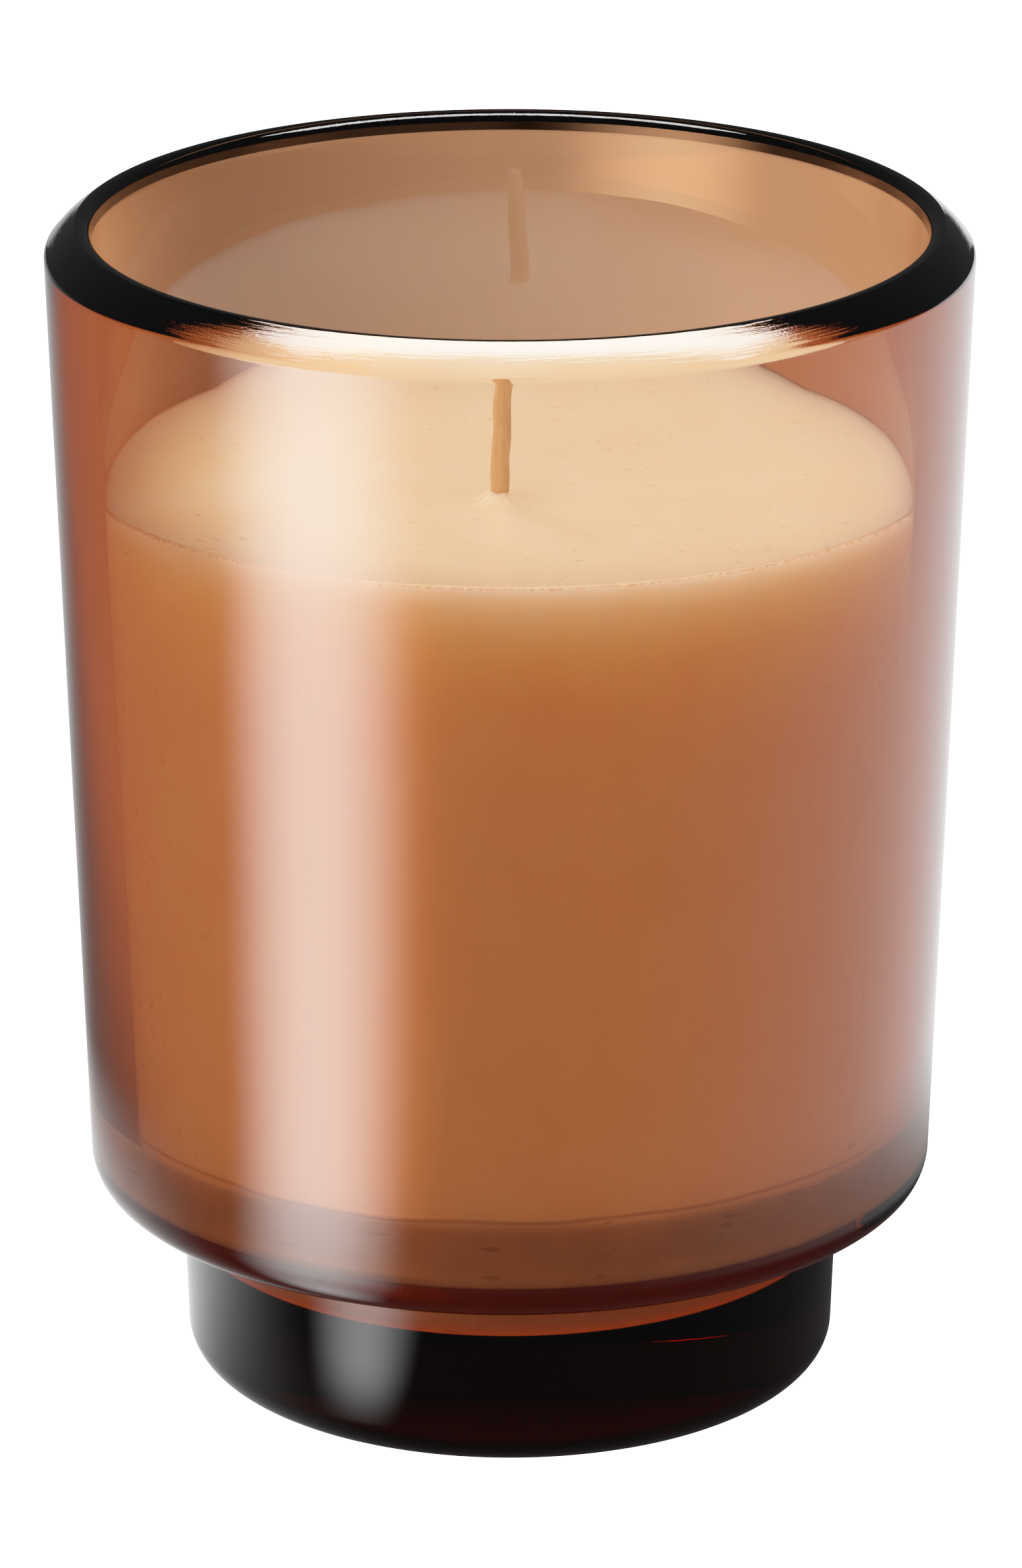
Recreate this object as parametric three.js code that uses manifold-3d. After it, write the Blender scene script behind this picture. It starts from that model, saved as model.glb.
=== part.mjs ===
// A container candle: a one-piece amber glass vessel on a solid glass foot, filled with cream wax
// around one waxed cotton wick, which a steel sustainer and a foam sticker hold on the vessel's floor.
// Lengths are millimetres. +Z is up, and the origin is the middle of the plane that the foot rests on.
import * as THREE from 'three';
import { mergeVertices } from 'three/addons/utils/BufferGeometryUtils.js';
import Module from 'manifold-3d';

// Glass vessel, outside
const HEIGHT = 104.3;
const RIM_RADIUS = 40; // widest, where the bevel of the rim starts
const BEVEL_HEIGHT = 2.4;
const CREST_RADIUS = 37.35; // top of the rim, where the bevel ends
const BEVEL_CROWN = 0.12; // how far the bevel bulges past a straight cone
const BOWL_BASE_RADIUS = 37.15; // the bowl tapers down to this
const BOWL_CORNER_R = 2.5; // rounding under the bowl, across and up
const BOWL_CORNER_Z = 2.9;
const SHOULDER_Z = 17.4; // flat underside of the bowl, top of the foot
const FOOT_TOP_RADIUS = 29.1;
const FOOT_BASE_RADIUS = 28.7;
const FOOT_CORNER_R = 4.1; // rounding at the foot's bottom edge, across and up
const FOOT_CORNER_Z = 3.5;
const SHOULDER_FILLET = 2.4; // between the foot and the underside of the bowl
const RECESS_RADIUS = 21.5; // shallow dome pressed up under the foot, inside the resting ring
const RECESS_DEPTH = 1.2;

// Glass vessel, inside
const WALL = 4.1;
const CREST_ROUNDING_Z = 0.9; // rounding from the crest to the inner wall
const LEDGE_Z = 19.4; // ledge over the underside of the bowl
const LEDGE_FILLET = 1.2; // between the wall and the ledge
const STEP_ROUNDING = 2; // edge of the ledge, where it drops into the foot
const WELL_RADIUS = 25.8; // the hollow goes on down into the foot as a well
const WELL_FILLET = 1.5; // between the well's wall and the floor
const FLOOR_Z = 11.9;

// Wax
const WAX_EDGE_Z = 83.1; // where the wax meets the wall
const WAX_MIDDLE_Z = 80; // the surface sinks towards the middle as it sets
const MENISCUS_RISE = 0.6; // how far the wax climbs the wall
const MENISCUS_REACH = 1.2;

// Wick, sustainer and sticker share one upright line, a little off the vessel's axis
const WICK_X = -0.9;
const WICK_Y = -1.5;
const WICK_RADIUS = 0.85;
const WICK_TIP_Z = 92;
const WICK_LEAN_X = 0.55; // how far the tip leans over
const STICKER_RADIUS = 7;
const STICKER_THICKNESS = 0.8;
const SUSTAINER_RADIUS = 7.5;
const SUSTAINER_STEEL = 0.35;
const SUSTAINER_CONE_RISE = 1.2; // the disc rises in a shallow cone to its neck
const NECK_RADIUS = 1.55;
const NECK_HEIGHT = 6;

// Clearances between the solids
const CONTACT_GAP = 0.1; // wax and glass, sticker and floor, sustainer and sticker
const WICK_GAP = 0.3; // wick and neck, wick and wax, sustainer and wax

// Facets
const ROUND_SEGMENTS = 72;
const SMALL_SEGMENTS = 24;
const CORNER_STEPS = 6;
const SURFACE_STEPS = 12;
const WICK_SIDES = 12;
const WICK_STEPS = 20;
const FULL_TURN = 2 * Math.PI;

const wasm = await Module();
wasm.setup();

const point = (radius, z) => new THREE.Vector2(radius, z);

// Points on a quarter ellipse about a centre, from one angle to another, in degrees from outwards.
function arc(centreRadius, centreZ, reach, rise, from, to, steps = CORNER_STEPS) {
  const points = [];
  for (let i = 0; i <= steps; i += 1) {
    const angle = THREE.MathUtils.degToRad(from + ((to - from) * i) / steps);
    points.push(point(centreRadius + reach * Math.cos(angle), centreZ + rise * Math.sin(angle)));
  }
  return points;
}

// A profile of radius and height, turned about the Z axis.
function turned(profile, segments = ROUND_SEGMENTS) {
  return new THREE.LatheGeometry(profile, segments).rotateX(Math.PI / 2);
}

// Inner radius of the bowl at a height above the ledge, where the wall is even.
function innerRadius(z) {
  const low = SHOULDER_Z + BOWL_CORNER_Z;
  const high = HEIGHT - BEVEL_HEIGHT;
  const taper = (RIM_RADIUS - BOWL_BASE_RADIUS) / (high - low);
  return BOWL_BASE_RADIUS + taper * (z - low) - WALL;
}

// The dome under the foot, from the axis out to the resting ring.
function recessPoints() {
  const points = [];
  for (let i = 0; i < CORNER_STEPS; i += 1) {
    const radius = (RECESS_RADIUS * i) / CORNER_STEPS;
    points.push(point(radius, RECESS_DEPTH * (1 - (radius / RECESS_RADIUS) ** 2)));
  }
  points.push(point(RECESS_RADIUS, 0));
  return points;
}

// The slightly crowned bevel, from the rim's widest line up to just below the crest.
function bevelPoints() {
  const points = [];
  for (let i = 0; i < CORNER_STEPS; i += 1) {
    const share = i / CORNER_STEPS;
    const crown = BEVEL_CROWN * Math.sin(Math.PI * share);
    const radius = RIM_RADIUS + (CREST_RADIUS - RIM_RADIUS) * share + crown;
    points.push(point(radius, HEIGHT - BEVEL_HEIGHT * (1 - share) + crown));
  }
  return points;
}

// The hollow's lower outline, from the wall over the rounded ledge and down the well to its floor.
// inset moves the outline that far away from the glass.
function hollowPoints(inset = 0) {
  const ledgeFillet = LEDGE_FILLET - inset;
  const stepRounding = STEP_ROUNDING + inset;
  const wellFillet = WELL_FILLET - inset;
  const ledgeCorner = innerRadius(LEDGE_Z + LEDGE_FILLET) - LEDGE_FILLET;
  const stepCentre = WELL_RADIUS + STEP_ROUNDING;
  const wellCorner = WELL_RADIUS - WELL_FILLET;
  return [
    ...arc(ledgeCorner, LEDGE_Z + LEDGE_FILLET, ledgeFillet, ledgeFillet, 0, -90),
    ...arc(stepCentre, LEDGE_Z - STEP_ROUNDING, stepRounding, stepRounding, 90, 180, 4),
    ...arc(wellCorner, FLOOR_Z + WELL_FILLET, wellFillet, wellFillet, 0, -90, 4),
  ];
}

function glassVessel() {
  const mouthRadius = innerRadius(HEIGHT - CREST_ROUNDING_Z);
  const footCorner = FOOT_BASE_RADIUS - FOOT_CORNER_R;
  const shoulderStart = FOOT_TOP_RADIUS + SHOULDER_FILLET;
  const bowlCorner = BOWL_BASE_RADIUS - BOWL_CORNER_R;
  const crestRounding = CREST_RADIUS - mouthRadius;
  return turned([
    ...recessPoints(),
    ...arc(footCorner, FOOT_CORNER_Z, FOOT_CORNER_R, FOOT_CORNER_Z, -90, 0),
    ...arc(shoulderStart, SHOULDER_Z - SHOULDER_FILLET, SHOULDER_FILLET, SHOULDER_FILLET, 180, 90, 3),
    ...arc(bowlCorner, SHOULDER_Z + BOWL_CORNER_Z, BOWL_CORNER_R, BOWL_CORNER_Z, -90, 0),
    ...bevelPoints(),
    ...arc(CREST_RADIUS, HEIGHT - CREST_ROUNDING_Z, crestRounding, CREST_ROUNDING_Z, 90, 180),
    ...hollowPoints(),
    point(0, FLOOR_Z),
  ]);
}

// Height of the wax surface: a shallow dish, and the meniscus that climbs the wall.
function waxSurfaceZ(radius, edgeRadius) {
  const dish = (WAX_EDGE_Z - MENISCUS_RISE - WAX_MIDDLE_Z) * (radius / edgeRadius) ** 2;
  const meniscus = MENISCUS_RISE * Math.exp((radius - edgeRadius) / MENISCUS_REACH);
  return WAX_MIDDLE_Z + dish + meniscus;
}

function waxSurfacePoints(edgeRadius) {
  const points = [];
  for (let i = 0; i < SURFACE_STEPS; i += 1) {
    const radius = edgeRadius * Math.cos((Math.PI / 2) * (i / SURFACE_STEPS));
    points.push(point(radius, waxSurfaceZ(radius, edgeRadius)));
  }
  points.push(point(0, waxSurfaceZ(0, edgeRadius)));
  return points;
}

// The wax before the wick and the sustainer are let into it.
function waxBlank() {
  const edgeRadius = innerRadius(WAX_EDGE_Z) - CONTACT_GAP;
  return turned([
    point(0, FLOOR_Z + CONTACT_GAP),
    ...hollowPoints(CONTACT_GAP).reverse(),
    ...waxSurfacePoints(edgeRadius),
  ]);
}

const stickerBase = FLOOR_Z + CONTACT_GAP;
const sustainerBase = stickerBase + STICKER_THICKNESS + CONTACT_GAP;
const coneTop = sustainerBase + SUSTAINER_CONE_RISE;
const neckTop = coneTop + NECK_HEIGHT;

// The space in the wax that the sticker, the sustainer and the wick take up, open below and above.
function wickChannel() {
  const rimTop = sustainerBase + SUSTAINER_STEEL + WICK_GAP;
  const channelRadius = WICK_RADIUS + WICK_GAP;
  return turned(
    [
      point(0, FLOOR_Z - 1),
      point(SUSTAINER_RADIUS + WICK_GAP, FLOOR_Z - 1),
      point(SUSTAINER_RADIUS + WICK_GAP, rimTop),
      point(NECK_RADIUS + WICK_GAP, coneTop + SUSTAINER_STEEL + WICK_GAP),
      point(NECK_RADIUS + WICK_GAP, neckTop + WICK_GAP),
      point(channelRadius, neckTop + 1),
      point(channelRadius, WAX_EDGE_Z + 1),
      point(0, WAX_EDGE_Z + 1),
    ],
    SMALL_SEGMENTS,
  ).translate(WICK_X, WICK_Y, 0);
}

// A three.js geometry as a manifold-3d solid, and back again.
function solidFrom(geometry) {
  const plain = geometry.clone();
  plain.deleteAttribute('normal');
  plain.deleteAttribute('uv');
  const merged = mergeVertices(plain, 1e-4);
  const vertProperties = merged.attributes.position.array;
  const triVerts = new Uint32Array(merged.index.array);
  return new wasm.Manifold(new wasm.Mesh({ numProp: 3, vertProperties, triVerts }));
}

function geometryFrom(solid) {
  const mesh = solid.getMesh();
  const geometry = new THREE.BufferGeometry();
  geometry.setAttribute('position', new THREE.BufferAttribute(mesh.vertProperties, 3));
  geometry.setIndex(new THREE.BufferAttribute(mesh.triVerts, 1));
  const faceted = geometry.toNonIndexed();
  faceted.computeVertexNormals();
  return faceted;
}

function waxFill() {
  return geometryFrom(solidFrom(waxBlank()).subtract(solidFrom(wickChannel())));
}

// The round foam sticker between the vessel's floor and the sustainer.
function wickSticker() {
  return turned(
    [
      point(0, stickerBase),
      point(STICKER_RADIUS, stickerBase),
      point(STICKER_RADIUS, stickerBase + STICKER_THICKNESS),
      point(0, stickerBase + STICKER_THICKNESS),
    ],
    SMALL_SEGMENTS,
  );
}

// The pressed steel disc, a shallow cone with a neck that is crimped on the wick.
function wickSustainer() {
  const neckBore = WICK_RADIUS + WICK_GAP;
  const coneFoot = SUSTAINER_RADIUS - 2 * SUSTAINER_STEEL;
  return turned(
    [
      point(neckBore, coneTop),
      point(coneFoot, sustainerBase),
      point(SUSTAINER_RADIUS, sustainerBase),
      point(SUSTAINER_RADIUS, sustainerBase + SUSTAINER_STEEL),
      point(NECK_RADIUS, coneTop + SUSTAINER_STEEL),
      point(NECK_RADIUS, neckTop),
      point(neckBore, neckTop),
      point(neckBore, coneTop),
    ],
    SMALL_SEGMENTS,
  );
}

// The wick stands in the neck and the wax, and leans a little above the surface.
function wickRod() {
  const section = new THREE.Shape();
  for (let i = 0; i < WICK_SIDES; i += 1) {
    const angle = (FULL_TURN * i) / WICK_SIDES;
    const x = WICK_RADIUS * Math.cos(angle);
    const y = WICK_RADIUS * Math.sin(angle);
    if (i === 0) section.moveTo(x, y);
    else section.lineTo(x, y);
  }
  section.closePath();
  const line = new THREE.CatmullRomCurve3([
    new THREE.Vector3(0, 0, coneTop + 1),
    new THREE.Vector3(0, 0, (coneTop + WAX_MIDDLE_Z) / 2),
    new THREE.Vector3(0, 0, WAX_MIDDLE_Z),
    new THREE.Vector3(WICK_LEAN_X / 3, 0, (WAX_MIDDLE_Z + WICK_TIP_Z) / 2),
    new THREE.Vector3(WICK_LEAN_X, 0, WICK_TIP_Z),
  ]);
  return new THREE.ExtrudeGeometry(section, { steps: WICK_STEPS, extrudePath: line });
}

function part(name, geometry, material, x = 0, y = 0) {
  const mesh = new THREE.Mesh(geometry, new THREE.MeshStandardMaterial(material));
  mesh.name = name;
  mesh.position.set(x, y, 0);
  return mesh;
}

const amberGlass = { color: 0xa8683c, roughness: 0.04, metalness: 0, transparent: true, opacity: 0.5 };
const creamWax = { color: 0xf1dfc4, roughness: 0.45, metalness: 0 };
const waxedCotton = { color: 0xe9d9bd, roughness: 0.7, metalness: 0 };
const tinnedSteel = { color: 0xb9bcc0, roughness: 0.35, metalness: 1 };
const whiteFoam = { color: 0xe6e4df, roughness: 0.8, metalness: 0 };

const candle = new THREE.Group();
candle.add(part('glass_jar', glassVessel(), amberGlass));
candle.add(part('wax_fill', waxFill(), creamWax));
candle.add(part('wick', wickRod(), waxedCotton, WICK_X, WICK_Y));
candle.add(part('wick_sustainer', wickSustainer(), tinnedSteel, WICK_X, WICK_Y));
candle.add(part('wick_sticker', wickSticker(), whiteFoam, WICK_X, WICK_Y));

export default candle;
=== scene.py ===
"""Looks of a filled container candle: an amber glass vessel, cream wax and one waxed cotton wick.

Profiles are written in millimetres, as the CAD source has them, and become metres in the meshes.
Materials and lights are written in millimetres too, unless a comment says otherwise.
"""
import math

import bpy
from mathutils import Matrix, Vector


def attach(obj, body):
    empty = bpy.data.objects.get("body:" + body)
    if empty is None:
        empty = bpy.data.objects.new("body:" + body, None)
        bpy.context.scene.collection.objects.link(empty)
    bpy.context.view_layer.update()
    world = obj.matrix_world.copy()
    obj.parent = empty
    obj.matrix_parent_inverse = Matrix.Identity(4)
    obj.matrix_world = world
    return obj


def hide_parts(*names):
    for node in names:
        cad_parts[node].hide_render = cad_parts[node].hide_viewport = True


MM = 0.001

# Glass vessel, outside
HEIGHT = 104.3
RIM_RADIUS = 40.0
BEVEL_HEIGHT = 2.4
CREST_RADIUS = 37.35
BEVEL_CROWN = 0.12
BEVEL_EDGE_ROUNDING = 0.9
CREST_EDGE_ROUNDING = 0.35
BOWL_BASE_RADIUS = 37.15
BOWL_CORNER_R = 2.5
BOWL_CORNER_Z = 2.9
SHOULDER_Z = 17.4
SHOULDER_FILLET = 2.4
FOOT_TOP_RADIUS = 29.1
FOOT_BASE_RADIUS = 28.7
FOOT_CORNER_R = 4.1
FOOT_CORNER_Z = 3.5
RECESS_RADIUS = 21.5
RECESS_DEPTH = 1.2

# Glass vessel, inside
WALL = 4.1
CREST_ROUNDING_Z = 0.9
LEDGE_Z = 19.4
LEDGE_FILLET = 1.2
STEP_ROUNDING = 2.0
WELL_RADIUS = 25.8
WELL_FILLET = 1.5
FLOOR_Z = 11.9

# Wax
WAX_EDGE_Z = 83.1
WAX_MIDDLE_Z = 80.0
MENISCUS_RISE = 0.6
MENISCUS_REACH = 1.2
WAX_WETTING = 0.05  # how far the wax mesh reaches into the glass, where it clings to it
WAX_PULL = 0.15  # how far the side of the wax has drawn back from there as it cooled
WAX_SIDE_DEPTH = 1.0  # the outermost part of the wax, which draws back
CLINGING_BASE_Z = 25.0  # below this height the wax clings to the glass
RELEASE_RISE = 0.5  # the middle of the wavy edge of the clinging part, above that height
RELEASE_SOFTNESS = 0.3
RELEASE_WAVES = ((0.3, 3, 0.7), (0.15, 11, 0.0))  # height, waves in a turn and phase
WICK_FILLET_RISE = 1.0  # wax that climbs the wick as it sets
WICK_FILLET_REACH = 0.7
WICK_CHIPS = 0.10  # unevenness of that fillet
WICK_CHIP_WAVES = ((1.0, 5, 1.2), (0.7, 11, 0.0), (0.5, 17, 2.0))
WICK_CHIP_MIDDLE = 0.5  # how far outside the wick the fillet is most uneven
WICK_CHIP_REACH = 0.6
WICK_CENTRED_RADIUS = 12  # rings up to this radius are centred on the wick
AXIS_CENTRED_RADIUS = 30  # rings from this radius on are centred on the vessel's axis

# Wick, sustainer and sticker
WICK_X = -0.9
WICK_Y = -1.5
WICK_RADIUS = 0.85
WICK_TIP_Z = 92.0
WICK_TIP_ROUNDING = 0.7
WICK_TIP_SHARE = 0.02  # the tip ends in a disc of this share of the wick's radius
WICK_LEAN_X = 0.55
WICK_LEAN_POWER = 1.5
WICK_KINK = 0.12  # small bends left in the stiff waxed braid
WICK_KINK_TURN = 1.3
WICK_TAPER = 0.08
WICK_RELIEF = 0.04
WICK_STRANDS = 4
WICK_LAY = 5.5  # height of one turn of a strand
STICKER_RADIUS = 7.0
STICKER_THICKNESS = 0.8
SUSTAINER_RADIUS = 7.5
SUSTAINER_STEEL = 0.35
SUSTAINER_CONE_RISE = 1.2
NECK_RADIUS = 1.55
NECK_HEIGHT = 6.0
CONTACT_GAP = 0.1
STICKER_BASE = FLOOR_Z + CONTACT_GAP
SUSTAINER_BASE = STICKER_BASE + STICKER_THICKNESS + CONTACT_GAP
CONE_TOP = SUSTAINER_BASE + SUSTAINER_CONE_RISE
NECK_TOP = CONE_TOP + NECK_HEIGHT
WICK_BOTTOM = CONE_TOP + 1

# Mesh density
ROUND_SEGMENTS = 240
WAX_SEGMENTS = 480
SMALL_SEGMENTS = 96
CORNER_STEPS = 14
FILLET_STEPS = 8
SURFACE_STEPS = 90
EDGE_STEP = 0.1  # between rings just under the edge of the wax
EDGE_STEPS = 10
RELEASE_STEP = 0.25  # between rings where the wax lets go of the glass
RELEASE_STEPS = 8
WICK_SIDES = 48
WICK_RINGS = 160
LONGEST_STEP = 3.0
ON_AXIS = 1e-6  # a smaller radius is a point on the axis
EDGE_TOLERANCE = 0.01

# Amber glass
GLASS_IOR = 1.5
GLASS_TINT = (0.741, 0.344, 0.0, 1)
GLASS_DENSITY = 320  # per metre
GROUND_LOW = HEIGHT - BEVEL_HEIGHT + 0.1  # the ground finish of the bevel starts here
GROUND_HIGH = HEIGHT - BEVEL_HEIGHT + 0.6  # and is full from here up
GROUND_FADE = 0.3  # and ends over this width at the crest
GROUND_STREAKS = 0.026
GROUND_GRAIN = 0.010
GLASS_WAVE = 0.05

# Cream wax
WAX_IOR = 1.44
WAX_SPECULAR = 0.5
WAX_SCATTER = (1.0, 0.85, 0.72)
WAX_SCATTER_REACH = 0.0095  # metres
WAX_DEEP = (0.90, 0.815, 0.67)
WAX_PALE = (0.94, 0.88, 0.76)
# painted shade: the wax near the base is drawn darker, where little light reaches it
WAX_BASE_SHADE = (0.60, 0.53, 0.44)
# painted shade along the line where the wax lets go of the glass
WAX_BASE_EDGE_SHADE = (0.40, 0.27, 0.18)
# painted shade in a few spots near the base
WAX_SPOT_SHADE = (0.42, 0.34, 0.28)
# painted shadow along the top of the side, where the surface meets the glass
WAX_CONTACT_SHADOW = (0.42, 0.27, 0.17)
BASE_EDGE_RISE = 0.75  # the painted shade line at the top of the clinging part, above its nominal height
BASE_EDGE_WAVE = 1.2
CONTACT_SHADOW_DEPTH = 0.30  # how far the painted shadow line at the top of the side reaches down
CONTACT_SHADOW_NICKS = 0.7  # unevenness of its lower edge
WAX_RIPPLE = 0.12
WAX_PORES = 0.01

# Waxed cotton, tinned steel and white foam
COTTON_DEEP = (0.58, 0.42, 0.26)
COTTON_PALE = (0.68, 0.52, 0.34)
COTTON_SCATTER = (1.0, 0.7, 0.4)
COTTON_SCATTER_REACH = 0.001  # metres
COTTON_RELIEF = 0.08
COTTON_STRETCH = (5, 5, 0.9)  # fibres are longer along the wick
STEEL_DEEP = (0.54, 0.54, 0.55)
STEEL_PALE = (0.66, 0.66, 0.67)
STEEL_RELIEF = 0.01
STEEL_STRETCH = (0.4, 12, 3)  # rolling marks run along the sheet
FOAM_DEEP = (0.74, 0.73, 0.69)
FOAM_PALE = (0.84, 0.83, 0.79)
FOAM_RELIEF = 0.05

# Camera
CAMERA_ELEVATION = 19.21
CAMERA_DISTANCE = 750.64
CAMERA_AIM = (0.09, 0.0, 53.08)
CAMERA_LENS = 196.64
CAMERA_SENSOR = 36.0

# Film and room, in units of radiance
WHITE_LEVEL = 4.0  # the light that the film curve draws as white
SEEN_WHITE = WHITE_LEVEL * 1.2  # the room and the table, as the camera sees them
FILM_STEPS = 24
DOME_LIGHT = 1.7
ROOM_LIGHT = 0.25
ROOM_REFLECTION = 0.08

# Table: its glow as the glass mirrors it and shows it, in units of radiance; the glow is painted light, with
# painted reflections and painted shadows
TABLE_HALF = 1500
TABLE_DROP = 0.1  # keeps the table just clear of the foot
FOOT_ZONE = 55  # the foot's surroundings end here
OPEN_ZONE = 100  # and the open table starts here
BAND_FROM = (-11.0, -22.0)  # the strip light's reflection fans out from here
BAND_BEARING = math.radians(49)
BAND_CORE = math.radians(1)
BAND_HALF = math.radians(31)
BAND_HALF_THROUGH = math.radians(38)
BAND_AT_FOOT = 5.6
BAND_IN_OPEN = 13.5
BAND_THROUGH = 20.0
# painted shadow on the table round the foot, and painted light to its left
FOOT_SHADOW_GLOW = 0.07
FOOT_LEFT_GLOW = 1.8
OPEN_GLOW = 0.2
OPEN_RIGHT_GLOW = 1.8
OPEN_BACK_GLOW = 0.8
# painted light under the foot's rim, and painted shadow beside the foot
UNDER_FOOT_LIGHT = 3.4
BESIDE_FOOT_SHADOW = 0.12
# a painted amber shadow behind the vessel, darker to the left, and painted light far to the left
BEHIND_LEFT_LIGHT = 0.4
BEHIND_RIGHT_LIGHT = 1.1
FAR_LEFT_LIGHT = 0.85
# warm tint of the painted light that lights the wax and shows through the glass
PAINTED_AMBER_TINT = (1.1, 0.84, 0.65)
WHITE = (1.0, 1.0, 1.0)

# Softboxes: centre, target and size, and the radiance of the box
LIGHT_Z = HEIGHT + 500
OVERHEAD = {"centre": (25, 0, LIGHT_Z), "target": (25, 0, HEIGHT), "size": (750, 200), "radiance": 23}
OVERHEAD_FILL = {"centre": (-170, 0, LIGHT_Z), "target": (25, 0, HEIGHT), "size": (750, 200), "radiance": 20}
LEFT = {"centre": (-580, -155, 210), "target": (0, 0, HEIGHT / 2), "size": (300, 300), "radiance": 6.5}
BACK_LEFT = {"centre": (-302, 484, 486), "target": (0, 0, WAX_MIDDLE_Z), "size": (140, 140), "radiance": 62}

# Light paths
MOST_BOUNCES = 24
GLOSSY_BOUNCES = 12
DIFFUSE_BOUNCES = 6
INDIRECT_CLAMP = 10


# ---------------------------------------------------------------- outlines

def arc(centre_r, centre_z, reach, rise, start, end):
    """Points on a quarter ellipse, from one angle to another, in degrees from outwards."""
    points = []
    for i in range(CORNER_STEPS + 1):
        angle = math.radians(start + (end - start) * i / CORNER_STEPS)
        points.append((centre_r + reach * math.cos(angle), centre_z + rise * math.sin(angle)))
    return points


def fillet(before, corner, after, radius):
    """Points of the arc that rounds a corner between two straight runs."""
    corner = Vector(corner)
    back = (Vector(before) - corner).normalized()
    ahead = (Vector(after) - corner).normalized()
    half = back.angle(ahead) / 2
    reach = radius / math.tan(half)
    start = corner + back * reach
    end = corner + ahead * reach
    centre = corner + (back + ahead).normalized() * (radius / math.sin(half))
    points = []
    for i in range(FILLET_STEPS + 1):
        spoke = (start - centre).normalized().slerp((end - centre).normalized(), i / FILLET_STEPS)
        points.append(tuple(centre + spoke * radius))
    return points


def refine(points):
    """The same outline with no step longer than LONGEST_STEP."""
    fine = [points[0]]
    for (r0, z0), (r1, z1) in zip(points, points[1:]):
        parts = max(1, math.ceil(math.hypot(r1 - r0, z1 - z0) / LONGEST_STEP))
        for i in range(1, parts + 1):
            fine.append((r0 + (r1 - r0) * i / parts, z0 + (z1 - z0) * i / parts))
    return fine


def wall_radius(z):
    """Outer radius of the tapered bowl at a height."""
    low = SHOULDER_Z + BOWL_CORNER_Z
    high = HEIGHT - BEVEL_HEIGHT
    return BOWL_BASE_RADIUS + (RIM_RADIUS - BOWL_BASE_RADIUS) * (z - low) / (high - low)


def inner_radius(z):
    return wall_radius(z) - WALL


def hollow_points(grow=0.0):
    """The hollow's lower outline, from the wall over a rounded ledge into the well inside the foot.

    grow moves the outline that far into the glass.
    """
    ledge_fillet = LEDGE_FILLET + grow
    step_rounding = STEP_ROUNDING - grow
    well_fillet = WELL_FILLET + grow
    ledge_corner = inner_radius(LEDGE_Z + LEDGE_FILLET) - LEDGE_FILLET
    step_z = LEDGE_Z - STEP_ROUNDING
    points = arc(ledge_corner, LEDGE_Z + LEDGE_FILLET, ledge_fillet, ledge_fillet, 0, -90)
    points += arc(WELL_RADIUS + STEP_ROUNDING, step_z, step_rounding, step_rounding, 90, 180)
    points += arc(WELL_RADIUS - WELL_FILLET, FLOOR_Z + WELL_FILLET, well_fillet, well_fillet, 0, -90)
    return points


def recess_points():
    """The dome under the foot, from the axis out to the resting ring."""
    points = []
    for i in range(CORNER_STEPS):
        radius = RECESS_RADIUS * i / CORNER_STEPS
        points.append((radius, RECESS_DEPTH * (1 - (radius / RECESS_RADIUS) ** 2)))
    return points + [(RECESS_RADIUS, 0.0)]


def rim_points():
    """Rounded edge at the top of the wall, the slightly crowned bevel, and its rounded upper edge."""
    low = (RIM_RADIUS, HEIGHT - BEVEL_HEIGHT)
    high = (CREST_RADIUS, HEIGHT)
    wall_below = (wall_radius(low[1] - 5), low[1] - 5)
    lower_edge = fillet(wall_below, low, high, BEVEL_EDGE_ROUNDING)
    upper_edge = fillet(low, high, (CREST_RADIUS - 1, HEIGHT), CREST_EDGE_ROUNDING)
    crown = []
    start = Vector(lower_edge[-1])
    end = Vector(upper_edge[0])
    outward = Vector((BEVEL_HEIGHT, RIM_RADIUS - CREST_RADIUS)).normalized()
    for i in range(1, CORNER_STEPS):
        share = i / CORNER_STEPS
        bulge = BEVEL_CROWN * math.sin(math.pi * share)
        crown.append(tuple(start.lerp(end, share) + outward * bulge))
    return lower_edge + crown + upper_edge


def glass_outline():
    foot_corner = FOOT_BASE_RADIUS - FOOT_CORNER_R
    shoulder_start = FOOT_TOP_RADIUS + SHOULDER_FILLET
    bowl_corner = BOWL_BASE_RADIUS - BOWL_CORNER_R
    mouth = inner_radius(HEIGHT - CREST_ROUNDING_Z)
    crest_start = CREST_RADIUS - CREST_EDGE_ROUNDING
    points = recess_points()
    points += arc(foot_corner, FOOT_CORNER_Z, FOOT_CORNER_R, FOOT_CORNER_Z, -90, 0)
    points += arc(shoulder_start, SHOULDER_Z - SHOULDER_FILLET, SHOULDER_FILLET, SHOULDER_FILLET, 180, 90)
    points += arc(bowl_corner, SHOULDER_Z + BOWL_CORNER_Z, BOWL_CORNER_R, BOWL_CORNER_Z, -90, 0)
    points += rim_points()
    points += arc(crest_start, HEIGHT - CREST_ROUNDING_Z, crest_start - mouth, CREST_ROUNDING_Z, 95, 180)
    points += hollow_points()
    points.append((0.0, FLOOR_Z))
    return refine(points)


def wax_surface_z(radius, edge):
    """Height of the wax surface: a shallow dish, the meniscus at the wall, and the fillet at the wick."""
    dish = (WAX_EDGE_Z - MENISCUS_RISE - WAX_MIDDLE_Z) * (radius / edge) ** 2
    meniscus = MENISCUS_RISE * math.exp((radius - edge) / MENISCUS_REACH)
    climb = WICK_FILLET_RISE * min(1.0, math.exp(-(radius - WICK_RADIUS) / WICK_FILLET_REACH))
    return WAX_MIDDLE_Z + dish + meniscus + climb


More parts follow.
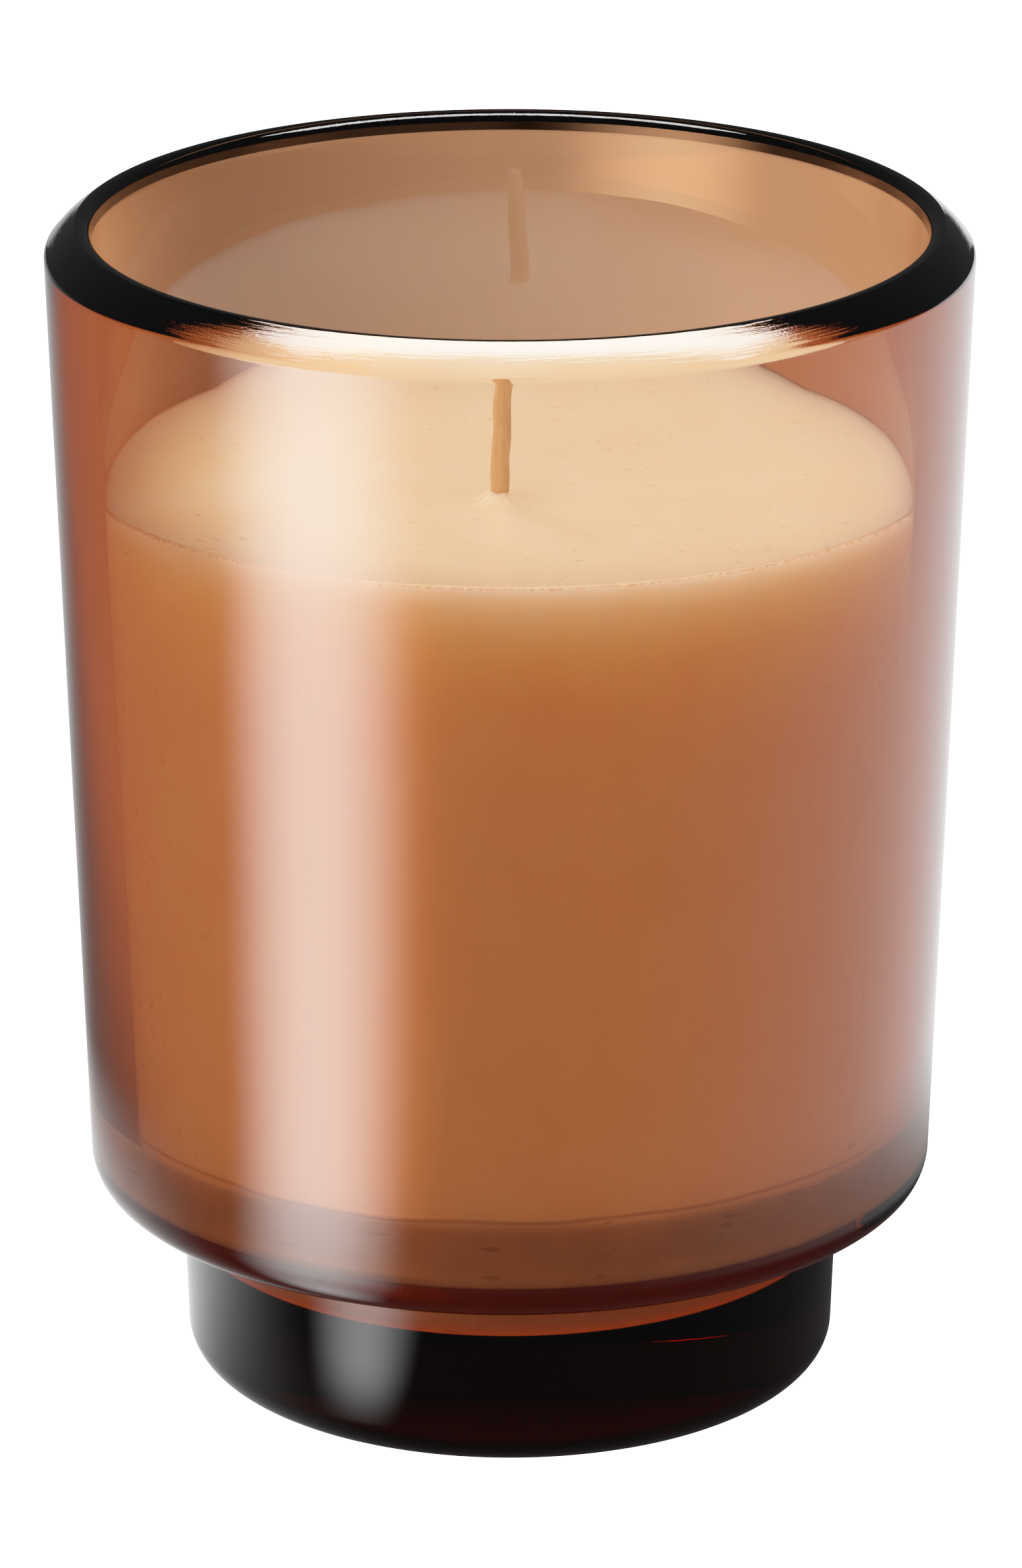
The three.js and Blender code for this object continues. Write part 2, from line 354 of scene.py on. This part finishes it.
def side_points():
    """The side of the wax from the surface down, with close steps where it lets go of the glass."""
    heights = [WAX_EDGE_Z - EDGE_STEP * i for i in range(1, EDGE_STEPS + 1)]
    heights += [CLINGING_BASE_Z + RELEASE_STEP * i for i in range(RELEASE_STEPS, -1, -1)]
    return [(inner_radius(z) + WAX_WETTING, z) for z in heights]


def wax_outline():
    """From the middle of the surface to the side and the floor, and over the sustainer to the axis.

    The wick is set in the wax, so the wax has no bore for it. Rings lie closest together at the wick
    and at the wall.
    """
    edge = inner_radius(WAX_EDGE_Z) + WAX_WETTING
    points = []
    for i in range(SURFACE_STEPS + 1):
        turn = math.pi / 2 * i / SURFACE_STEPS
        radius = edge * (math.sin(turn) + 1 - math.cos(turn)) / 2
        points.append((radius, wax_surface_z(radius, edge)))
    points += side_points()
    points += hollow_points(WAX_WETTING)
    points += [
        (SUSTAINER_RADIUS, FLOOR_Z - WAX_WETTING),
        (SUSTAINER_RADIUS, SUSTAINER_BASE + SUSTAINER_STEEL),
        (NECK_RADIUS, CONE_TOP + SUSTAINER_STEEL),
        (NECK_RADIUS, NECK_TOP),
        (0.0, NECK_TOP),
    ]
    return refine(points)


# ---------------------------------------------------------------- meshes

def smoothstep(low, high, value):
    share = min(1.0, max(0.0, (value - low) / (high - low)))
    return share * share * (3 - 2 * share)


def waves(angle, terms):
    """A sum of sine waves round the axis, each given as its height, waves in a turn and phase."""
    return sum(height * math.sin(turns * angle + phase) for height, turns, phase in terms)


def make_object(name, vertices, faces):
    mesh = bpy.data.meshes.new(name)
    mesh.from_pydata([tuple(c * MM for c in v) for v in vertices], [], faces)
    mesh.validate()
    mesh.shade_smooth()
    piece = bpy.data.objects.new(name, mesh)
    bpy.context.scene.collection.objects.link(piece)
    return piece


def on_axis(angle, radius, z):
    return (radius * math.cos(angle), radius * math.sin(angle), z)


def turned(name, outline, segments, closed=False, move=on_axis):
    """Turns an outline about the Z axis. A closed outline makes a ring-shaped solid.

    move takes a point (angle, radius, z) to its place (x, y, z).
    """
    vertices = []
    rows = []
    for radius, z in outline:
        count = 1 if radius < ON_AXIS else segments
        rows.append([len(vertices) + s for s in range(count)])
        vertices += [move(2 * math.pi * s / segments, radius, z) for s in range(count)]
    pairs = list(zip(rows, rows[1:]))
    if closed:
        pairs.append((rows[-1], rows[0]))
    faces = []
    for lower, upper in pairs:
        for s in range(segments):
            t = s + 1
            ring = (
                lower[s % len(lower)],
                lower[t % len(lower)],
                upper[t % len(upper)],
                upper[s % len(upper)],
            )
            faces.append(tuple(dict.fromkeys(ring)))
    return make_object(name, vertices, faces)


def clinging(angle, z):
    """1 where the wax still clings to the glass, 0 where it has drawn back a hair."""
    above = z - CLINGING_BASE_Z - RELEASE_RISE - waves(angle, RELEASE_WAVES)
    return 1 - smoothstep(-RELEASE_SOFTNESS, RELEASE_SOFTNESS, above)


def around_wick(angle, radius, z):
    """Rings near the wick are centred on it, and rings near the wall on the vessel's axis."""
    if radius > inner_radius(z) - WAX_SIDE_DEPTH and z < WAX_EDGE_Z + EDGE_TOLERANCE:
        radius -= WAX_PULL * (1 - clinging(angle, z))
    if z > WAX_MIDDLE_Z - 1:
        off_middle = (radius - WICK_RADIUS - WICK_CHIP_MIDDLE) / WICK_CHIP_REACH
        z += WICK_CHIPS * waves(angle, WICK_CHIP_WAVES) * math.exp(-off_middle ** 2)
    share = 1 - smoothstep(WICK_CENTRED_RADIUS, AXIS_CENTRED_RADIUS, radius)
    x = radius * math.cos(angle) + WICK_X * share
    y = radius * math.sin(angle) + WICK_Y * share
    return (x, y, z)


def glass_vessel():
    return turned("glass_vessel", glass_outline(), ROUND_SEGMENTS)


def wax_body():
    return turned("wax_body", list(reversed(wax_outline())), WAX_SEGMENTS, move=around_wick)


def wick_centre(z):
    """The wick is upright in the wax, and leans and bends a little above it."""
    share = max(0.0, (z - WAX_MIDDLE_Z) / (WICK_TIP_Z - WAX_MIDDLE_Z))
    kink = WICK_KINK * share * math.sin(WICK_KINK_TURN * (z - WAX_MIDDLE_Z))
    return (WICK_X + WICK_LEAN_X * share ** WICK_LEAN_POWER + kink, WICK_Y - kink)


def wick_radius(angle, z):
    """Radius of the braid: a soft diamond relief, a slight taper and a rounded tip."""
    turn = 2 * math.pi * z / WICK_LAY
    weave = math.cos(WICK_STRANDS * angle + turn) * math.cos(WICK_STRANDS * angle - turn)
    taper = WICK_TAPER * smoothstep(WAX_MIDDLE_Z, WICK_TIP_Z, z)
    off_tip = max(0.0, 1 - (WICK_TIP_Z - z) / WICK_TIP_ROUNDING)
    tip = math.sqrt(max(0.0, 1 - off_tip ** 2))
    return (WICK_RADIUS - WICK_RELIEF - taper + WICK_RELIEF * weave) * max(tip, WICK_TIP_SHARE)


def wick_braid():
    """A round braid under a coat of wax."""
    vertices = []
    for i in range(WICK_RINGS + 1):
        z = WICK_BOTTOM + (WICK_TIP_Z - WICK_BOTTOM) * i / WICK_RINGS
        x, y = wick_centre(z)
        for s in range(WICK_SIDES):
            angle = 2 * math.pi * s / WICK_SIDES
            radius = wick_radius(angle, z)
            vertices.append((x + radius * math.cos(angle), y + radius * math.sin(angle), z))
    faces = []
    for i in range(WICK_RINGS):
        low = i * WICK_SIDES
        high = low + WICK_SIDES
        for s in range(WICK_SIDES):
            t = (s + 1) % WICK_SIDES
            faces.append((low + s, low + t, high + t, high + s))
    faces.append(tuple(reversed(range(WICK_SIDES))))
    faces.append(tuple(WICK_RINGS * WICK_SIDES + s for s in range(WICK_SIDES)))
    return make_object("wick_braid", vertices, faces)


def at_wick(angle, radius, z):
    return (WICK_X + radius * math.cos(angle), WICK_Y + radius * math.sin(angle), z)


def sustainer():
    """The pressed steel disc and its neck, one turned sheet."""
    bore = WICK_RADIUS
    cone_foot = SUSTAINER_RADIUS - 2 * SUSTAINER_STEEL
    outline = [
        (bore, CONE_TOP),
        (cone_foot, SUSTAINER_BASE),
        (SUSTAINER_RADIUS, SUSTAINER_BASE),
        (SUSTAINER_RADIUS, SUSTAINER_BASE + SUSTAINER_STEEL),
        (NECK_RADIUS, CONE_TOP + SUSTAINER_STEEL),
        (NECK_RADIUS, NECK_TOP),
        (bore, NECK_TOP),
    ]
    return turned("sustainer_disc", outline, SMALL_SEGMENTS, closed=True, move=at_wick)


def sticker():
    """A round foam disc with a bulging edge."""
    bulge = STICKER_THICKNESS / 2
    outline = [(0.0, STICKER_BASE)]
    outline += arc(STICKER_RADIUS - bulge, STICKER_BASE + bulge, bulge, bulge, -90, 90)
    outline.append((0.0, STICKER_BASE + STICKER_THICKNESS))
    return turned("sticker_foam", refine(outline), SMALL_SEGMENTS, move=at_wick)


# ---------------------------------------------------------------- materials

class Nodes:
    """Short calls for building a node tree."""

    def __init__(self, tree):
        self.tree = tree

    def add(self, kind, **settings):
        node = self.tree.nodes.new(kind)
        for name, value in settings.items():
            setattr(node, name, value)
        return node

    def link(self, source, target):
        if isinstance(source, (int, float)):
            target.default_value = source
        else:
            self.tree.links.new(source, target)

    def math(self, operation, first, second=0.0):
        node = self.add("ShaderNodeMath", operation=operation)
        self.link(first, node.inputs[0])
        self.link(second, node.inputs[1])
        return node.outputs[0]

    def plus(self, first, second):
        return self.math("ADD", first, second)

    def minus(self, first, second):
        return self.math("SUBTRACT", first, second)

    def times(self, first, second):
        return self.math("MULTIPLY", first, second)

    def noise(self, vector, scale, detail, seed=0.0):
        """Noise about 0, from -0.5 to 0.5, with features of about 1 / scale."""
        node = self.add("ShaderNodeTexNoise", noise_dimensions="4D")
        self.link(vector, node.inputs["Vector"])
        node.inputs["W"].default_value = seed
        node.inputs["Scale"].default_value = scale
        node.inputs["Detail"].default_value = detail
        return self.minus(node.outputs["Fac"], 0.5)

    def combine(self, x, y, z):
        node = self.add("ShaderNodeCombineXYZ")
        for source, target in zip((x, y, z), node.inputs):
            self.link(source, target)
        return node.outputs[0]

    def stretch(self, axes, factors):
        """A vector of x, y and z, each times its own factor."""
        return self.combine(*[self.times(axis, factor) for axis, factor in zip(axes, factors)])

    def blend(self, share, first, second):
        """A colour: first where share is 0, second where it is 1."""
        node = self.add("ShaderNodeMix", data_type="RGBA")
        self.link(share, node.inputs[0])
        for colour, target in zip((first, second), (node.inputs[6], node.inputs[7])):
            if isinstance(colour, tuple):
                target.default_value = (*colour, 1.0)
            else:
                self.link(colour, target)
        return node.outputs[2]

    def mix(self, share, first, second):
        """A number: first where share is 0, second where it is 1."""
        node = self.add("ShaderNodeMix", data_type="FLOAT")
        self.link(share, node.inputs[0])
        self.link(first, node.inputs[2])
        self.link(second, node.inputs[3])
        return node.outputs[0]

    def ramp(self, value, low, high, at_low=0.0, at_high=1.0):
        """A smooth step from at_low to at_high while value goes from low to high."""
        node = self.add("ShaderNodeMapRange", interpolation_type="SMOOTHSTEP")
        for source, target in zip((value, low, high, at_low, at_high), node.inputs):
            self.link(source, target)
        return node.outputs[0]

    def bump(self, height, shader):
        """Relief in millimetres on a shader's normal."""
        node = self.add("ShaderNodeBump")
        node.inputs["Distance"].default_value = MM
        self.link(height, node.inputs["Height"])
        self.link(node.outputs["Normal"], shader.inputs["Normal"])

    def place(self):
        """Object coordinates in millimetres: the vector, x, y, z and the distance from the axis."""
        coordinates = self.add("ShaderNodeTexCoord")
        scaled = self.add("ShaderNodeVectorMath", operation="SCALE")
        self.link(coordinates.outputs["Object"], scaled.inputs[0])
        scaled.inputs["Scale"].default_value = 1 / MM
        split = self.add("ShaderNodeSeparateXYZ")
        self.link(scaled.outputs[0], split.inputs[0])
        x, y, z = split.outputs
        squares = self.plus(self.times(x, x), self.times(y, y))
        return scaled.outputs[0], x, y, z, self.math("SQRT", squares)

    def around(self, x, y, z, radius, turns, rises):
        """A vector for noise in streaks round the axis: turns and rises make them shorter and lower."""
        share_x = self.times(self.math("DIVIDE", x, radius), turns)
        share_y = self.times(self.math("DIVIDE", y, radius), turns)
        return self.combine(share_x, share_y, self.times(z, rises))


def new_material(name):
    material = bpy.data.materials.new(name)
    material.use_nodes = True
    return material, Nodes(material.node_tree), material.node_tree.nodes["Principled BSDF"]


def bevel_relief(build, vector, x, y, z, radius):
    """Fine streaks and grain on the bevel, left from its grinding."""
    up = build.ramp(z, low=GROUND_LOW, high=GROUND_HIGH)
    ground = build.times(up, build.ramp(radius, low=CREST_RADIUS - GROUND_FADE, high=CREST_RADIUS))
    streaks = build.noise(build.around(x, y, z, radius, turns=9, rises=7), scale=1.0, detail=3.0)
    grain = build.noise(vector, scale=5.0, detail=1.0, seed=1)
    relief = build.plus(build.times(streaks, GROUND_STREAKS), build.times(grain, GROUND_GRAIN))
    return build.times(relief, ground)


def amber_glass():
    """Clear glass whose colour comes only from how much of it the light crosses.

    The bevel is ground, and the whole surface is very slightly wavy.
    """
    material, build, glass = new_material("amber_glass")
    glass.inputs["Base Color"].default_value = (1, 1, 1, 1)
    glass.inputs["Roughness"].default_value = 0.0
    glass.inputs["IOR"].default_value = GLASS_IOR
    glass.inputs["Transmission Weight"].default_value = 1.0
    vector, x, y, z, radius = build.place()
    wave = build.times(build.noise(vector, scale=0.06, detail=1.0, seed=2), GLASS_WAVE)
    build.bump(build.plus(bevel_relief(build, vector, x, y, z, radius), wave), glass)
    tint = build.add("ShaderNodeVolumeAbsorption")
    tint.inputs["Color"].default_value = GLASS_TINT
    tint.inputs["Density"].default_value = GLASS_DENSITY
    build.link(tint.outputs["Volume"], material.node_tree.nodes["Material Output"].inputs["Volume"])
    return material


def base_shade_mask(build, vector, z):
    """1 where the wax clings to the glass near the base, and less in patches; there it gets painted shade.
    """
    clings = build.ramp(z, low=CLINGING_BASE_Z + 1.0, high=CLINGING_BASE_Z - 0.5)
    unevenness = build.noise(vector, scale=0.25, detail=2.0, seed=3)
    patches = build.ramp(unevenness, low=-0.3, high=0.3, at_low=0.75, at_high=1.0)
    return build.times(clings, patches)


def base_edge_shade_mask(build, x, y, z, radius):
    """A thin wavy line of painted shade where the wax lets go of the glass."""
    wave = build.noise(build.around(x, y, z, radius, turns=2, rises=0.0), scale=1.0, detail=1.5, seed=10)
    height = build.plus(CLINGING_BASE_Z + BASE_EDGE_RISE, build.times(wave, BASE_EDGE_WAVE))
    off_edge = build.math("ABSOLUTE", build.minus(z, height))
    side = inner_radius(CLINGING_BASE_Z)
    at_side = build.ramp(radius, low=side - 0.6, high=side - 0.3)
    return build.times(build.ramp(off_edge, low=0.05, high=0.28, at_low=0.55, at_high=0.0), at_side)


def spot_shade_mask(build, x, y, z, radius):
    """A few spots of painted shade near the base."""
    lenses = build.noise(build.around(x, y, z, radius, turns=8, rises=1.0), scale=1.0, detail=1.0, seed=11)
    near_base = build.ramp(z, low=CLINGING_BASE_Z + 3.5, high=CLINGING_BASE_Z + 1.0)
    return build.times(build.ramp(lenses, low=0.19, high=0.24, at_low=0.0, at_high=0.6), near_base)


def contact_shadow_mask(build, x, y, z, radius):
    """The ragged line of painted shadow at the top of the side, where the surface meets the glass."""
    nicks = build.noise(build.around(x, y, z, radius, turns=90, rises=1.5), scale=1.0, detail=3.0, seed=4)
    line_foot = build.plus(WAX_EDGE_Z - CONTACT_SHADOW_DEPTH, build.times(nicks, CONTACT_SHADOW_NICKS))
    side = inner_radius(WAX_EDGE_Z)
    at_side = build.ramp(radius, low=side - 0.35, high=side - 0.2)
    return build.times(at_side, build.ramp(build.minus(z, line_foot), low=-0.05, high=0.08))


def cream_wax():
    """Soft pale wax: faint mottling, painted shade on its base and on a thin line and a few spots near it,
    and a ragged painted shadow line where its surface meets the glass.
    """
    material, build, wax = new_material("cream_wax")
    wax.inputs["IOR"].default_value = WAX_IOR
    wax.inputs["Subsurface Weight"].default_value = 1.0
    wax.inputs["Subsurface Radius"].default_value = WAX_SCATTER
    wax.inputs["Subsurface Scale"].default_value = WAX_SCATTER_REACH
    wax.inputs["Specular IOR Level"].default_value = WAX_SPECULAR
    vector, x, y, z, radius = build.place()
    mottle = build.ramp(build.noise(vector, scale=0.12, detail=4.0), low=-0.25, high=0.25)
    colour = build.blend(mottle, WAX_DEEP, WAX_PALE)
    colour = build.blend(base_shade_mask(build, vector, z), colour, WAX_BASE_SHADE)
    colour = build.blend(base_edge_shade_mask(build, x, y, z, radius), colour, WAX_BASE_EDGE_SHADE)
    colour = build.blend(spot_shade_mask(build, x, y, z, radius), colour, WAX_SPOT_SHADE)
    colour = build.blend(contact_shadow_mask(build, x, y, z, radius), colour, WAX_CONTACT_SHADOW)
    build.link(colour, wax.inputs["Base Color"])
    dullness = build.noise(vector, scale=0.8, detail=3.0, seed=5)
    roughness = build.ramp(dullness, low=-0.3, high=0.3, at_low=0.26, at_high=0.36)
    build.link(roughness, wax.inputs["Roughness"])
    ripple = build.times(build.noise(vector, scale=0.1, detail=2.0, seed=6), WAX_RIPPLE)
    pores = build.times(build.noise(vector, scale=3.0, detail=2.0, seed=7), WAX_PORES)
    build.bump(build.plus(ripple, pores), wax)
    return material


def waxed_cotton():
    """Braided cotton that shows faintly through its coat of wax."""
    material, build, cotton = new_material("waxed_cotton")
    axes = build.place()[1:4]
    fibres = build.noise(build.stretch(axes, COTTON_STRETCH), scale=1.0, detail=4.0, seed=8)
    share = build.ramp(fibres, low=-0.25, high=0.25)
    build.link(build.blend(share, COTTON_DEEP, COTTON_PALE), cotton.inputs["Base Color"])
    roughness = build.ramp(fibres, low=-0.3, high=0.3, at_low=0.4, at_high=0.6)
    build.link(roughness, cotton.inputs["Roughness"])
    cotton.inputs["Subsurface Weight"].default_value = 0.5
    cotton.inputs["Subsurface Radius"].default_value = COTTON_SCATTER
    cotton.inputs["Subsurface Scale"].default_value = COTTON_SCATTER_REACH
    build.bump(build.times(fibres, COTTON_RELIEF), cotton)
    return material


def tinned_steel():
    """Rolled tinplate, with faint rolling marks."""
    material, build, steel = new_material("tinned_steel")
    steel.inputs["Metallic"].default_value = 1.0
    axes = build.place()[1:4]
    marks = build.noise(build.stretch(axes, STEEL_STRETCH), scale=1.0, detail=3.0, seed=9)
    share = build.ramp(marks, low=-0.3, high=0.3)
    build.link(build.blend(share, STEEL_DEEP, STEEL_PALE), steel.inputs["Base Color"])
    roughness = build.ramp(marks, low=-0.3, high=0.3, at_low=0.28, at_high=0.45)
    build.link(roughness, steel.inputs["Roughness"])
    build.bump(build.times(marks, STEEL_RELIEF), steel)
    return material


def white_foam():
    """Closed-cell foam: small round cells in the surface."""
    material, build, foam = new_material("white_foam")
    cells = build.add("ShaderNodeTexVoronoi")
    build.link(build.place()[0], cells.inputs["Vector"])
    cells.inputs["Scale"].default_value = 4.0
    off_centre = cells.outputs["Distance"]
    wall = build.ramp(off_centre, low=0.1, high=0.6)
    build.link(build.blend(wall, FOAM_DEEP, FOAM_PALE), foam.inputs["Base Color"])
    roughness = build.ramp(off_centre, low=0.1, high=0.6, at_low=0.95, at_high=0.8)
    build.link(roughness, foam.inputs["Roughness"])
    build.bump(build.times(wall, FOAM_RELIEF), foam)
    return material


# ---------------------------------------------------------------- stage

def camera():
    data = bpy.data.cameras.new("camera")
    data.lens = CAMERA_LENS
    data.sensor_width = CAMERA_SENSOR
    rig = bpy.data.objects.new("camera", data)
    bpy.context.scene.collection.objects.link(rig)
    elevation = math.radians(CAMERA_ELEVATION)
    back = Vector((0, -math.cos(elevation), math.sin(elevation)))
    rig.location = (Vector(CAMERA_AIM) + back * CAMERA_DISTANCE) * MM
    rig.rotation_mode = "QUATERNION"
    rig.rotation_quaternion = (-back).to_track_quat("-Z", "Y")
    bpy.context.scene.camera = rig


def reflected_ray(build):
    """1 for light that was mirrored, and 0 for light that came through or was scattered."""
    path = build.add("ShaderNodeLightPath")
    straight = build.minus(1.0, path.outputs["Is Transmission Ray"])
    return build.times(path.outputs["Is Glossy Ray"], straight)


def camera_ray(build):
    return build.add("ShaderNodeLightPath").outputs["Is Camera Ray"]


def studio():
    """A white room for the camera, a soft front dome for the object, and a dim room in its reflections."""
    world = bpy.data.worlds.new("studio")
    bpy.context.scene.world = world
    world.use_nodes = True
    build = Nodes(world.node_tree)
    background = world.node_tree.nodes["Background"]
    direction = build.add("ShaderNodeTexCoord")
    split = build.add("ShaderNodeSeparateXYZ")
    build.link(direction.outputs["Generated"], split.inputs[0])
    y, z = split.outputs[1:]
    in_front = build.ramp(build.times(y, -1.0), low=0.0, high=0.6)
    above = build.ramp(z, low=0.0, high=0.35)
    dome = build.times(build.times(in_front, above), DOME_LIGHT)
    light = build.mix(reflected_ray(build), build.plus(dome, ROOM_LIGHT), ROOM_REFLECTION)
    build.link(build.mix(camera_ray(build), light, SEEN_WHITE), background.inputs["Strength"])
    background.inputs["Color"].default_value = (1, 1, 1, 1)


def mirrored_glow(build, x, y, radius, in_open, bearing, off_band):
    """The table as the glass mirrors it: a painted reflection of the strip light's band, and a fainter
    painted glow round the vessel with painted shadow close to the foot.
    """
    band = build.ramp(off_band, low=BAND_CORE, high=BAND_HALF, at_low=1.0, at_high=0.0)
    band = build.times(band, build.ramp(radius, low=32, high=47))
    right = build.ramp(bearing, low=math.radians(-25), high=math.radians(-140))
    left_back = build.ramp(bearing, low=math.radians(140), high=math.radians(175))
    open_glow = build.plus(OPEN_GLOW, build.times(right, OPEN_RIGHT_GLOW))
    open_glow = build.plus(open_glow, build.times(left_back, OPEN_BACK_GLOW))
    at_left = build.times(build.ramp(y, low=-30, high=14), build.ramp(x, low=0, high=-20))
    # painted shadow round the foot, painted light at its left
    foot_shadow_and_glow = build.mix(at_left, FOOT_SHADOW_GLOW, FOOT_LEFT_GLOW)
    glow = build.mix(in_open, foot_shadow_and_glow, open_glow)
    peak = build.mix(in_open, BAND_AT_FOOT, BAND_IN_OPEN)
    return build.mix(band, glow, peak)


def shown_glow(build, x, radius, in_open, off_band):
    """The table as it lights the wax and shows through the glass: painted light under the foot, painted
    shadow beside it, a painted amber shadow behind and the strip light's band.

    Only light that the wax hasn't scattered has the band.
    """
    scatters = build.add("ShaderNodeLightPath").outputs["Diffuse Depth"]
    unscattered = build.math("LESS_THAN", scatters, 0.5)
    band = build.ramp(off_band, low=BAND_CORE, high=BAND_HALF_THROUGH, at_low=1.0, at_high=0.0)
    near = build.ramp(radius, low=27.5, high=30.5, at_low=UNDER_FOOT_LIGHT, at_high=BESIDE_FOOT_SHADOW)
    behind = build.ramp(x, low=-60, high=80, at_low=BEHIND_LEFT_LIGHT, at_high=BEHIND_RIGHT_LIGHT)
    behind = build.plus(behind, build.ramp(x, low=-50, high=-150, at_low=0.0, at_high=FAR_LEFT_LIGHT))
    far = build.mix(build.times(band, unscattered), behind, BAND_THROUGH)
    return build.mix(in_open, near, far)


def pale_table():
    """Pure white to the camera, with painted light and painted shadow that only the glass and wax pick up.
    """
    material = bpy.data.materials.new("pale_table")
    material.use_nodes = True
    build = Nodes(material.node_tree)
    material.node_tree.nodes.remove(material.node_tree.nodes["Principled BSDF"])
    _, x, y, _, radius = build.place()
    in_open = build.ramp(radius, low=FOOT_ZONE, high=OPEN_ZONE)
    from_x, from_y = BAND_FROM
    bearing = build.math("ARCTAN2", build.minus(from_x, x), build.minus(from_y, y))
    off_band = build.math("ABSOLUTE", build.minus(bearing, BAND_BEARING))
    mirrored = mirrored_glow(build, x, y, radius, in_open, bearing, off_band)
    shown = shown_glow(build, x, radius, in_open, off_band)
    light = build.mix(reflected_ray(build), shown, mirrored)
    untinted = build.math("MAXIMUM", reflected_ray(build), camera_ray(build))
    glow = build.add("ShaderNodeEmission")
    build.link(build.blend(untinted, PAINTED_AMBER_TINT, WHITE), glow.inputs["Color"])
    build.link(build.mix(camera_ray(build), light, SEEN_WHITE), glow.inputs["Strength"])
    build.link(glow.outputs[0], material.node_tree.nodes["Material Output"].inputs["Surface"])
    return material


def floor():
    half = TABLE_HALF
    low = -TABLE_DROP
    table_corners = [(-half, -half, low), (half, -half, low), (half, half, low), (-half, half, low)]
    table = make_object("table", table_corners, [(0, 1, 2, 3)])
    table.data.materials.append(pale_table())


def softbox(name, centre, target, size, radiance):
    """A soft rectangular light that the camera doesn't see."""
    data = bpy.data.lights.new(name, "AREA")
    data.shape = "RECTANGLE"
    data.size = size[0] * MM
    data.size_y = size[1] * MM
    data.energy = radiance * math.pi * size[0] * size[1] * MM * MM
    light = bpy.data.objects.new(name, data)
    bpy.context.scene.collection.objects.link(light)
    light.location = Vector(centre) * MM
    aim = Vector(target) - Vector(centre)
    light.rotation_mode = "QUATERNION"
    light.rotation_quaternion = aim.to_track_quat("-Z", "Y")
    light.visible_camera = False
    return light


def lights():
    """A long box overhead that shows only in reflections, and three fills that show in none."""
    overhead = softbox("overhead_softbox", **OVERHEAD)
    overhead.visible_diffuse = False
    overhead.visible_transmission = False
    fill = softbox("overhead_fill", **OVERHEAD_FILL)
    fill.visible_glossy = False
    fill.visible_transmission = False
    softbox("left_softbox", **LEFT).visible_glossy = False
    softbox("back_left_softbox", **BACK_LEFT).visible_glossy = False


def film_curve():
    """Highlights roll off softly, as on film: 1 - exp(-light), which reaches white at WHITE_LEVEL."""
    view = bpy.context.scene.view_settings
    view.view_transform = "Standard"
    view.use_curve_mapping = True
    mapping = view.curve_mapping
    mapping.white_level = (WHITE_LEVEL, WHITE_LEVEL, WHITE_LEVEL)
    curve = mapping.curves[3]
    for i in range(1, FILM_STEPS):
        share = (i / FILM_STEPS) ** 2
        curve.points.new(share, (1 - math.exp(-WHITE_LEVEL * share)) / (1 - math.exp(-WHITE_LEVEL)))
    mapping.update()


def light_paths():
    cycles = bpy.context.scene.cycles
    cycles.max_bounces = MOST_BOUNCES
    cycles.transmission_bounces = MOST_BOUNCES
    cycles.glossy_bounces = GLOSSY_BOUNCES
    cycles.diffuse_bounces = DIFFUSE_BOUNCES
    cycles.caustics_refractive = True
    cycles.caustics_reflective = True
    cycles.sample_clamp_indirect = INDIRECT_CLAMP
    cycles.blur_glossy = 0.0


# ---------------------------------------------------------------- assembly

def stand_in(piece, node, material):
    """Lets a piece stand for a CAD node, with its finish."""
    piece.data.materials.append(material)
    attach(piece, "root")
    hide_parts(node)


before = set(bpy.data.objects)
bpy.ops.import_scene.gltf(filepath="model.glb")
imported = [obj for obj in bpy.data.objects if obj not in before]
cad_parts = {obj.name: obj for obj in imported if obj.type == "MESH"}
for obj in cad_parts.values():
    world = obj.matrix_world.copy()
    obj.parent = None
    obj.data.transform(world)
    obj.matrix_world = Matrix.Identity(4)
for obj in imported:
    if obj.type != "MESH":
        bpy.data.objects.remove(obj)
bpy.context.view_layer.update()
camera()
studio()
floor()
lights()
light_paths()
film_curve()
stand_in(glass_vessel(), "glass_jar", amber_glass())
stand_in(wax_body(), "wax_fill", cream_wax())
stand_in(wick_braid(), "wick", waxed_cotton())
stand_in(sustainer(), "wick_sustainer", tinned_steel())
stand_in(sticker(), "wick_sticker", white_foam())
